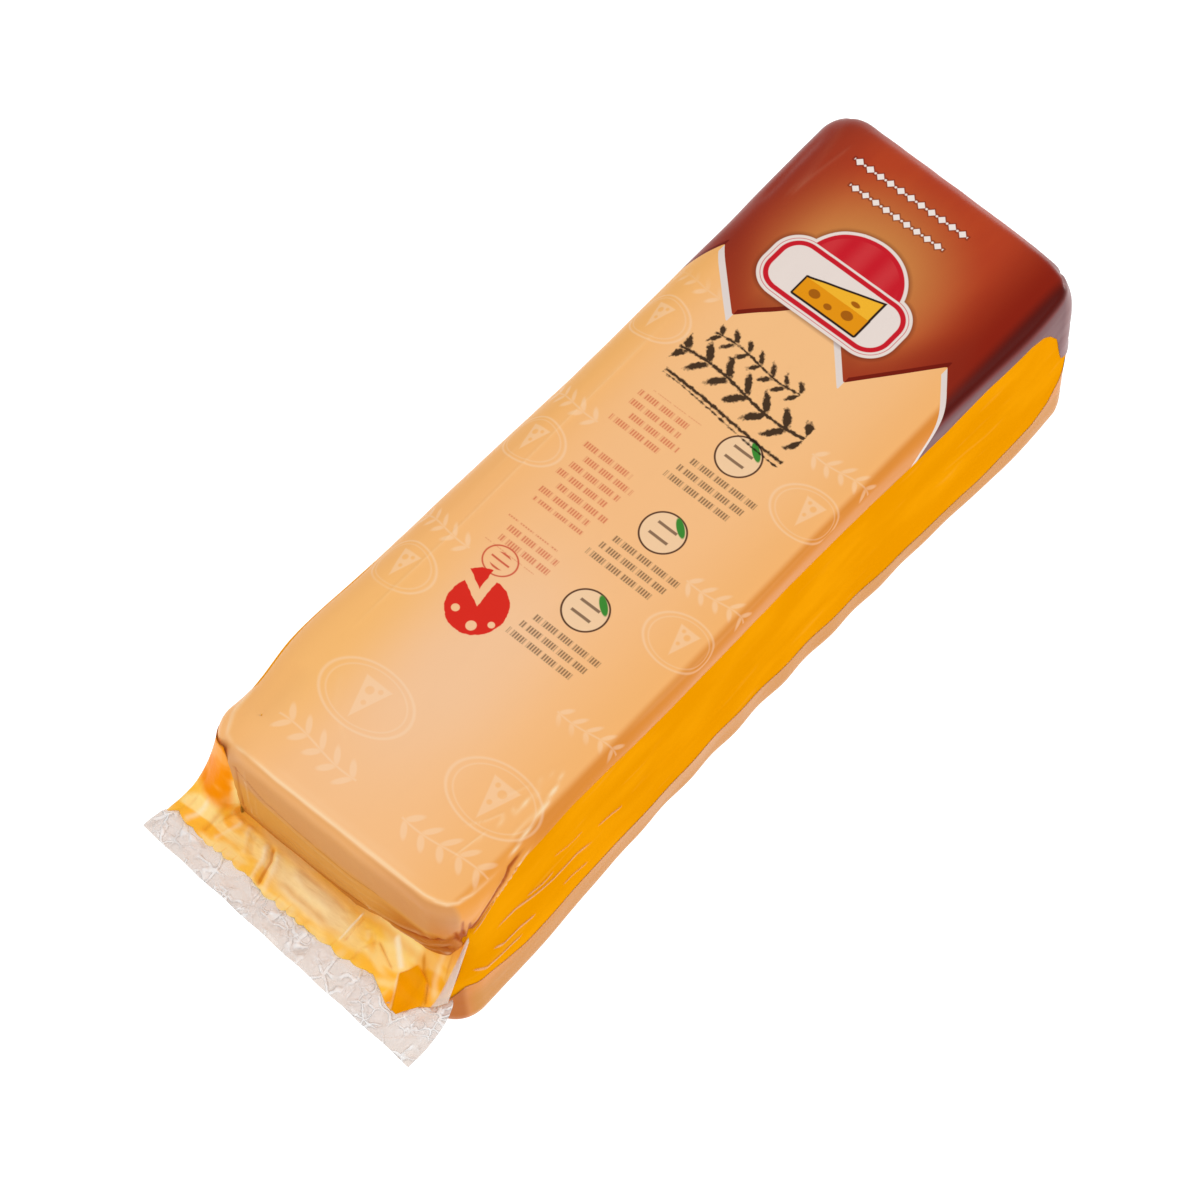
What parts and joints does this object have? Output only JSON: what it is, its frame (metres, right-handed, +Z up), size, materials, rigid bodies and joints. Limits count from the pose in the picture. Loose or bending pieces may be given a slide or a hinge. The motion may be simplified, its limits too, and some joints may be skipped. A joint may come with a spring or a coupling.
{
  "type": "vacuum-packed cheddar loaf",
  "caption": "Long block of orange cheddar, vacuum-shrunk in a printed film bag with clear side windows and a heat-sealed end.",
  "frame": {"origin": "centre of the loaf's flat base, on the surface it lies on", "axes": "+X along the loaf from the sealed end to the tucked end, +Y to its left seen from the sealed end, +Z up out of the printed top"},
  "size_m": [0.3255, 0.1115, 0.081],
  "materials": {
    "printed_film": "tight semi-gloss printed shrink film, peach with a brown band",
    "cheese": "smooth waxy orange cheddar seen through clear film",
    "yellow_film": "crumpled yellow film of the bag's mouth",
    "clear_film": "clear crinkled heat-sealed film"
  },
  "bodies": {
    "root": {"wrapped_loaf": "printed_film", "bag_skirt": "yellow_film", "seal_strip": "clear_film"}
  },
  "joints": []
}
